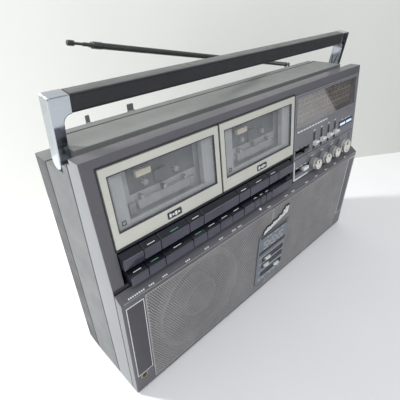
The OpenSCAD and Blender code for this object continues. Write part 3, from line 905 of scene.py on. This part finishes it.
def badge_details():
    """Plain slanted strokes above the plate, printed dashes on it, and rims round its slots."""
    at = on_speaker(0, 0)
    emblem = Shape()
    outline = Shape()
    for i in range(12):
        x = -21 + i * 5
        z = 123 + i * 1.2
        top = z + (6, 8, 6.5)[i % 3] + (6 if i > 8 else 0)
        emblem.prism([(x, z), (x + 3, z + 0.6), (x + 6, top), (x + 3, top - 0.6)], -2.6, 0.2)
        outline.prism(
            [(x - 2, z - 2), (x + 4.2, z - 1), (x + 8, top + 2), (x + 1.6, top + 1)], -1.3, 0.2)
    emblem.done("badge_emblem", at, "cabinet", "cap", 0.3, slot="control_silver")
    outline.done("emblem_outline", at, "cabinet", "dark", slot="badge_gray")
    lines = Shape()
    for row, z in enumerate((112, 104, 100, 96, 92)):
        for column in range(8):
            if (row + column) % 3:
                start = -17 + column * 6.5
                lines.block((start, -1.75, z), (start + 4.6, -1.5, z + 1.0))
    for z in (75.5, 61.5, 44.5, 29):
        lines.block((-25, -1.75, z), (41, -1.5, z + 0.5))
    for x in (-20, -10, 8, 20, 32):
        lines.block((x, -1.75, 25), (x + 2.2, -1.5, 27))
    lines.done("badge_print", at, "cabinet", "print", slot="badge_gray")
    wells = Shape()
    for z in SWITCH_ZS:
        wells.frame((-16.5, -2.3, z - 4.2), (38.5, -1.2, z + 4.2), 1.4)
    wells.block((-26, -2.0, 83), (42, -1.2, 89))
    wells.block((-26, -2.0, 115.5), (42, -1.2, 119.5))
    wells.done("badge_wells", at, "cabinet", "dark", 0.2, slot="badge_gray")


# ---- Cassette doors and decks ----

def door(side, x):
    body = f"{side}_door"
    at = on_panel(x, DOOR_Z)
    holder = Shape()
    for x0, x1 in ((-70.5, -52.5), (52.5, 70.5)):
        holder.block((x0, 2.3, 10), (x1, 9.5, 78))
        holder.block((x0 + 4, 1.8, 20), (x1 - 10, 2.6, 76))
    holder.block((-52.5, 3.5, 8), (52.5, 9.5, 18))
    holder.block((-52.5, 2.3, 17), (52.5, 5.2, 22))
    holder.done(f"{side}_holder", at, body, "cheek", 0.5, slot="deck_gray")
    lip = Shape().block((-69.9, 1.7, 12), (69.9, 2.3, 16.6))
    lip.done(f"{side}_holder_lip", at, body, "ring", 0.1, slot="deck_gray")
    pane = DOOR_W / 2 - 7.02
    gasket = Shape().frame((-pane, -1.5, 16.02), (pane, 1.7, DOOR_H - 8.52), 1.0)
    gasket.done(f"{side}_window_trim", at, body, "insert", 0.15, slot="key_black")
    plate_x = -0.5 if side == "left" else 0
    badge = Shape().slab((plate_x - 10, -2.5, 3.6), (plate_x + 10, -1.7, 11.6), 1.0)
    badge.done(f"{side}_door_badge", at, body, "dark", 0.15, slot="key_black")
    bars = Shape()
    for k in range(4):
        start = plate_x - 8 + k * 4.1
        bars.block((start, -2.7, 5.4 + (k % 2)), (start + 2.9, -2.4, 9.8 - (k % 2)))
    bars.done(f"{side}_door_mark", at, body, "print", slot="control_silver")
    corner = Shape().frame((-64.5, -0.8, 22), (-59.5, -0.55, 27), 0.8)
    corner.done(f"{side}_window_mark", at, body, "dark", slot="key_black")


def deck(side, x):
    """What shows behind the door: a plate with a dark cut-out, a label, a ledge and the heads."""
    at = on_panel(x, DOOR_Z)
    plate = Shape()
    plate.block((-50.8, 15.6, 7), (50.8, 16.6, 41))
    plate.block((-50.8, 15.6, 70), (50.8, 16.6, 80))
    plate.block((-50.8, 15.6, 41), (-41, 16.6, 70))
    plate.done(f"{side}_deck_plate", at, "cabinet", "cheek", 0.3, slot="deck_gray")
    well = Shape().block((-41, 16.2, 41), (50.8, 17.4, 70))
    well.slab((-9, 12.5, 43), (9, 17, 58), 2)
    well.done(f"{side}_deck_well", at, "cabinet", "well", 0.4, slot="key_black")
    label = Shape().block((-32, 11.2, 59), (-13, 16.3, 66))
    label.done(f"{side}_deck_label", at, "cabinet", "label", 0.2, slot="deck_gray")
    bridge = Shape().slab((-36, 9.5, 24), (36, 16, 35), 1.5)
    bridge.block((-46, 12, 20), (-38, 16, 33))
    bridge.block((38, 12, 20), (46, 16, 33))
    bridge.done(f"{side}_deck_bridge", at, "cabinet", "ring", 0.6, slot="deck_gray")
    heads = Shape()
    for hx in (-30, 0, 30):
        heads.lathe([(2.4, 16), (2.4, 8.8), (1.9, 8.2), (0.01, 8.2)], (hx, 0, 37.6), 24)
    heads.done(f"{side}_deck_heads", at, "cabinet", "steel", 0.2, slot="screw_steel")


# ---- Keys ----

def key_marks():
    """A short pale or green mark on each key's top, near its front edge."""
    for name in key_names():
        low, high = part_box(name)
        middle = (low.x + high.x) / 2 / MM
        half = min((high.x - low.x) / MM * 0.22, 5.5)
        y, z, slope = KEY_TOP[key_row(name)]
        at = cabinet(middle, y, z, math.radians(slope))
        Shape().block((-half, -0.3, -0.1), (half, 0.45, 0.18)).done(
            f"{name}_mark", at, name, "green" if name in GREEN_KEYS else "print", slot="key_black")


# ---- Tuner panel ----

def dial():
    """The dial's back and its printed scale, behind the lens."""
    at = on_panel(0, TUNER_Z0)
    low = DIAL_Z0 - TUNER_Z0
    high = DIAL_Z1 - TUNER_Z0
    Shape().block((DIAL_X0 + 0.2, 4.6, low + 0.2), (DIAL_X1 - 0.2, 5.3, high - 0.2)).done(
        "dial_back", at, "cabinet", "dial", slot="tuner_gray")
    scale = Shape()
    for row in range(5):
        z = low + 7 + row * 7.6
        scale.block((DIAL_X0 + 8, 4.3, z), (DIAL_X1 - 8, 4.7, z + (1.5 if row in (1, 3) else 0.6)))
        spread = 8 + row * 1.2
        x = DIAL_X0 + 10 + row
        while x < DIAL_X1 - 10:
            scale.block((x, 4.3, z + 0.6), (x + 0.5, 4.7, z + 2.4))
            scale.block((x + 1.4, 4.3, z + 3.0), (x + 4.4, 4.7, z + 4.5))
            x += spread
    scale.block((DIAL_X0 + 3, 4.3, low + 4), (DIAL_X0 + 4, 4.7, high - 4))
    scale.done("dial_scale", at, "cabinet", "beige", slot="tuner_gray")


def tuner_print():
    """Dashes for the panel's words: under the dial, and by the sliders, knobs and switches."""
    prints = Shape()

    def dash(x, z, width, height):
        prints.block((x, -1.35, z - TUNER_Z0), (x + width, -1.1, z - TUNER_Z0 + height))

    for i in range(11):
        dash(DIAL_X0 + 2 + i * 8.2, DIAL_Z0 - 6.6, 6, 2.2)
    for x in SLIDER_XS:
        for step in range(5):
            dash(x + 4.8, SLIDER_Z0 + step * 6, 1.4, 0.5)
        dash(x - 2.5, SLIDER_Z0 + 29, 5, 1.4)
    for x, z, _ in KNOBS.values():
        dash(x - 4, z + 11.5, 8, 1.2)
    for x in (72, 84, 96):
        dash(x, 224, 5, 1.4)
        dash(x, 194, 5, 1.2)
    for x in (212, 224, 236):
        dash(x, 236, 6, 1.2)
    prints.done("tuner_print", on_panel(0, TUNER_Z0), "cabinet", "print", slot="tuner_gray")


def tuner_details():
    """Grooves and slot rims drawn as dark strips, painted shade in place of their hollows; level
    lamps; and pale trims, painted highlights along the edges of the panel, the dial and the long
    groove.
    """
    at = on_panel(0, TUNER_Z0)
    low = DIAL_Z0 - TUNER_Z0
    high = DIAL_Z1 - TUNER_Z0
    # Painted shade: dark strips stand in for the shade in the panel's grooves and slots; the
    # rounded one is the dark surround of the level lamps.
    grooves = Shape()
    grooves.block((TUNER_X0 + 1.5, -1.32, 35.4), (TUNER_X1 - 1.5, -1.1, 36.8))
    grooves.frame((67.4, -1.5, 41), (107.6, -1.1, 51), 1.4)
    grooves.frame((67.4, -1.5, 9.6), (108.4, -1.1, 19.6), 1.4)
    grooves.slab((203, -1.9, 50.4), (251, -1.0, 60.6), 1)
    for x in (243.5, 247.5):
        grooves.block((x, -1.4, 20), (x + 1.2, -1.1, 32))
    for x in SLIDER_XS:
        grooves.frame((x - 2.9, -1.45, 38.4), (x + 2.9, -1.1, 66.6), 1.5)
    grooves.done("tuner_groove_shade", at, "cabinet", "dark", 0.1, slot="key_black")
    lamps = Shape()
    for x in (206, 229):
        lamps.block((x, -2.3, 53.4), (x + 19, -1.6, 57.6))
    lamps.done("level_lamps", at, "cabinet", "lamp", 0.2, slot="control_silver")
    # Painted highlights along the panel's and the dial's edges, and a pale line along the long
    # groove's upper edge.
    trim = Shape().frame((TUNER_X0 + 0.4, -1.5, 0.4), (TUNER_X1 - 0.4, -1.0, 133.4), 0.9)
    trim.frame((DIAL_X0 - 1.2, -1.6, low - 1.2), (DIAL_X1 + 1.2, -1.0, high + 1.2), 0.8)
    trim.block((TUNER_X0 + 1.5, -1.36, 37), (TUNER_X1 - 1.5, -1.1, 37.6))
    trim.done("tuner_edge_highlight", at, "cabinet", "ring", 0.1, slot="tuner_gray")
    # A brighter painted highlight along the panel's lower left corner.
    corner = Shape().block((TUNER_X0 + 0.6, -1.7, 0.6), (TUNER_X0 + 3.2, -1.1, 33))
    corner.block((TUNER_X0 + 3.2, -1.7, 0.6), (106, -1.1, 3.2))
    corner.done("tuner_corner_highlight", at, "cabinet", "print", 0.15, slot="control_silver")


def knobs():
    """Turned knobs with a ribbed skirt, a bright spun face and a pointer line."""
    for name, (x, z, r) in KNOBS.items():
        at = on_tuner(x, z)
        ribs = int(r * 5) * 2
        skirt = [(3, 11.9), (3, -2), (r * 0.8, -1.7), (r - 0.7, -1.7), (r, -2.4), (r, -9.4),
                 (r - 0.5, -10)]
        cap = [(r - 0.5, -10), (r - 0.9, -10.4), (r - 0.9, -14.8), (r - 1.6, -15.6),
               (r * 0.7, -15.9), (r * 0.62, -15.4), (0.01, -15.2)]
        body = Shape().lathe(skirt, steps=ribs, ribs=(4, 5, 0.45))
        ribbed = body.done(f"{name}_skirt", at, name, "ring", smooth=25, slot="control_silver")
        Shape().lathe(cap, steps=64).done(
            f"{name}_cap", at, name, "silver", smooth=30, slot="control_silver")
        Shape().block((-0.4, -15.98, r * 0.2), (0.4, -15.0, r * 0.86)).done(
            f"{name}_line", at, name, "dark", slot="key_black")
        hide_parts(name)


# ---- Handle and antenna ----

GRIP_TOP = 64
GRIP_H = 18
GRIP_HALF_D = 8
GRIP_RIBS = 12


def grip():
    """The grip's section: rounded at its corners, with fine ridges along its front and rear."""
    corner = 2.2
    low = GRIP_TOP - GRIP_H
    outline = []

    def arc(cy, cz, first):
        for step in range(5):
            angle = math.radians(first + step * 22.5)
            outline.append((cy + corner * math.cos(angle), cz + corner * math.sin(angle)))

    def ridges(y, z0, z1, inward):
        pitch = (z1 - z0) / GRIP_RIBS
        for k in range(GRIP_RIBS):
            outline.append((y + inward * 0.35, z0 + (k + 0.15) * pitch))
            outline.append((y, z0 + (k + 0.3) * pitch))
            outline.append((y, z0 + (k + 0.85) * pitch))
            outline.append((y + inward * 0.35, z0 + pitch * (k + 1)))

    arc(GRIP_HALF_D - corner, GRIP_TOP - corner, 0)
    arc(-GRIP_HALF_D + corner, GRIP_TOP - corner, 90)
    ridges(-GRIP_HALF_D, GRIP_TOP - corner - 0.5, low + corner + 0.5, 1)
    arc(-GRIP_HALF_D + corner, low + corner, 180)
    arc(GRIP_HALF_D - corner, low + corner, 270)
    ridges(GRIP_HALF_D, low + corner + 0.5, GRIP_TOP - corner - 0.5, -1)
    made = Shape().prism(outline, -244.8, 244.8, "x").done(
        "grip_cover", on_handle(), "handle", "grip", smooth=25, slot="grip_black")
    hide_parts("handle_grip")


def handle_caps():
    """Round pivot covers on the handle's arms."""
    for side, sign in (("left", -1), ("right", 1)):
        at = cabinet(sign * 264.6, PIVOT_Y, PIVOT_Z) @ Matrix.Rotation(sign * math.pi / 2, 4, "Z")
        Shape().lathe([(5.5, 0.3), (5.5, -0.1), (4.8, -0.35), (0.01, -0.38)], steps=40).done(
            f"{side}_pivot_cap", at, "handle", "steel", slot="screw_steel")


def antenna_collar():
    """The collar at the outer tube's open end."""
    at = on_antenna() @ Matrix.Rotation(math.pi / 2, 4, "X")
    Shape().lathe([(3.5, 384), (3.95, 384.6), (3.95, 396), (3.2, 397)], steps=40).done(
        "antenna_collar", at, "antenna_tube", "antenna", slot="bright_chrome")


# ---- Rear ----

def rear_details():
    """The mains inlet, two rows of sockets, the battery door's ribs and latch, a plain label."""
    at = cabinet(0, REAR_Y, 0)
    inlet = Shape().frame((166, -0.1, 36), (196, 2.2, 54), 2.4)
    inlet.block((168, 0.1, 38), (194, 0.5, 52))
    for x in (177, 185):
        inlet.lathe([(1.2, 0.2), (1.2, 2.0), (0.01, 2.2)], (x, 0, 45), 16)
    inlet.done("mains_inlet", at, "cabinet", "dark", 0.3, slot="key_black")
    plate = Shape().slab((-232, -0.1, 34), (-150, 0.7, 74), 2)
    plate.done("socket_plate", at, "cabinet", "dark", 0.2, slot="key_black")
    sockets = Shape()
    for x in (-222, -206, -190, -174, -158):
        for z in (44, 63):
            sockets.lathe([(2.0, 0.2), (2.0, 2.2), (2.6, 2.8), (4.0, 2.8), (4.6, 2.0), (4.6, 0.3)],
                          (x, 0, z), 24)
    sockets.done("rear_sockets", at, "cabinet", "steel", slot="screw_steel")
    ribs = Shape()
    for k in range(9):
        ribs.block((-118, -0.5, 34 + k * 7), (118, 0.1, 36.2 + k * 7))
    ribs.block((-14, -0.5, 93), (14, 0.6, 98))
    ribs.done("battery_door_ribs", at, "battery_door", "cover", 0.3, slot="casing_gray")
    label = Shape().frame((-60, -0.1, 124), (60, 0.5, 166), 0.8)
    for k in range(5):
        label.block((-52, -0.1, 131 + k * 6.5), (52 - k * 9, 0.35, 132.4 + k * 6.5))
    label.done("rear_rating_lines", at, "cabinet", "print", slot="casing_gray")


# ---- Stage: floor, wall, lights and camera ----

def sheet(name, points, faces, look):
    """A flat piece of the stage."""
    data = bpy.data.meshes.new(name)
    data.from_pydata(points, [], faces)
    data.materials.append(look)
    piece = bpy.data.objects.new(name, data)
    bpy.context.scene.collection.objects.link(piece)
    return piece


def wall_look():
    """White paint, shaded to the right, and see-through from behind."""
    look = Look("wall_white", (0.88, 0.88, 0.84), 0.7)
    across = look.along(look.place, "X")
    look.tint(look.remap(across, 0.1, 1.5), (0.47, 0.47, 0.44)).mottle(300, 0.98, 1.01)
    behind = look.node("ShaderNodeMixShader")
    look.link(look.node("ShaderNodeNewGeometry").outputs["Backfacing"], behind.inputs[0])
    look.link(look.shader.outputs[0], behind.inputs[1])
    look.link(look.node("ShaderNodeBsdfTransparent").outputs[0], behind.inputs[2])
    look.link(behind.outputs[0], look.tree.nodes["Material Output"].inputs["Surface"])
    return look.material


def stage():
    """A pale floor and wall, and a dark card at the right, out of sight, for glossy surfaces."""
    bottom = cad_low.z
    floor = Look("floor_white", (0.80, 0.80, 0.805), 0.5)
    floor.mottle(220, 0.985, 1.01).grain(60, 0.1)
    corners = [(-4, -4, bottom), (4, -4, bottom), (4, 4, bottom), (-4, 4, bottom)]
    sheet("floor", corners, [(0, 1, 2, 3)],
          floor.material)
    foot = [Vector((-1.24, 1.202, bottom)), Vector((1.75, -0.665, bottom))]
    up = Vector((0, 0, 2.4))
    corners = [foot[0], foot[1], foot[1] + up, foot[0] + up]
    wall = sheet("wall", corners, [(0, 1, 2, 3)], wall_look())
    wall.visible_shadow = False
    black = Look("card_black", (0.02, 0.02, 0.024), 0.9)
    black.mottle(100, 0.8, 1.2)
    low = bottom + 0.005
    high = 0.9
    edge = [(1.198, -0.565), (2.6, -1.475), (2.6, -1.25), (1.75, -0.68), (1.15, -0.30)]
    points = [(x, y, low) for x, y in edge]
    points += [(1.15, -0.30, high), (1.75, -0.68, high), (2.6, -1.25, high)]
    card = sheet("dark_card", points, [(0, 1, 2, 3, 4), (4, 3, 6, 5), (3, 2, 7, 6)], black.material)
    card.visible_camera = False
    card.visible_diffuse = False
    card.visible_shadow = False


def area_light(name, direction, distance, size, power, color):
    data = bpy.data.lights.new(name, "AREA")
    data.shape = "DISK"
    data.size = size
    data.energy = power
    data.color = color
    light = bpy.data.objects.new(name, data)
    aim = Vector((0, 0, 0.15))
    toward = Vector(direction).normalized()
    light.location = aim + toward * distance
    light.rotation_mode = "QUATERNION"
    light.rotation_quaternion = toward.to_track_quat("Z", "Y")
    bpy.context.scene.collection.objects.link(light)


def lights():
    area_light("window_light", (-0.556, 0.619, 0.556), 2.2, 0.25, 46, (1.0, 0.99, 0.96))
    area_light("room_light", (-0.35, -0.45, 0.82), 2.2, 1.5, 24, (0.96, 0.98, 1.0))
    world = bpy.data.worlds.new("studio")
    world.use_nodes = True
    background = world.node_tree.nodes["Background"]
    background.inputs["Color"].default_value = (0.94, 0.96, 1.0, 1)
    background.inputs["Strength"].default_value = 0.6
    bpy.context.scene.world = world


def camera():
    """At the photograph's place and angle."""
    yaw, pitch, roll = 0.750251, 0.552487, -0.038052
    data = bpy.data.cameras.new("camera")
    data.sensor_width = 36
    data.lens = 31.19
    data.clip_start = 0.01
    made = bpy.data.objects.new("camera", data)
    run = math.cos(pitch)
    ahead = Vector((math.sin(yaw) * run, math.cos(yaw) * run, -math.sin(pitch)))
    level = Vector((math.cos(yaw), -math.sin(yaw), 0))
    upward = level.cross(ahead)
    right = math.cos(roll) * level + math.sin(roll) * upward
    top = math.cos(roll) * upward - math.sin(roll) * level
    turn = Matrix((right, top, -ahead)).transposed()
    made.matrix_world = Matrix.Translation((-0.37098, -0.31051, 0.44642)) @ turn.to_4x4()
    bpy.context.scene.collection.objects.link(made)
    bpy.context.scene.camera = made


camera()
lights()
stage()
dress_frame()
grille()
for woofer_side, woofer_place in (("left", -WOOFER_X), ("right", WOOFER_X)):
    woofer(woofer_side, woofer_place)
seams()
door_lines()
end_panels()
phones_jack()
shelf_marks()
badge_details()
for door_side, door_place in DOOR_X.items():
    door(door_side, door_place)
    deck(door_side, door_place)
key_marks()
key_highlights()
dial()
tuner_print()
tuner_details()
knobs()
grip()
handle_caps()
antenna_collar()
rear_details()
bpy.context.scene.view_settings.view_transform = "Standard"
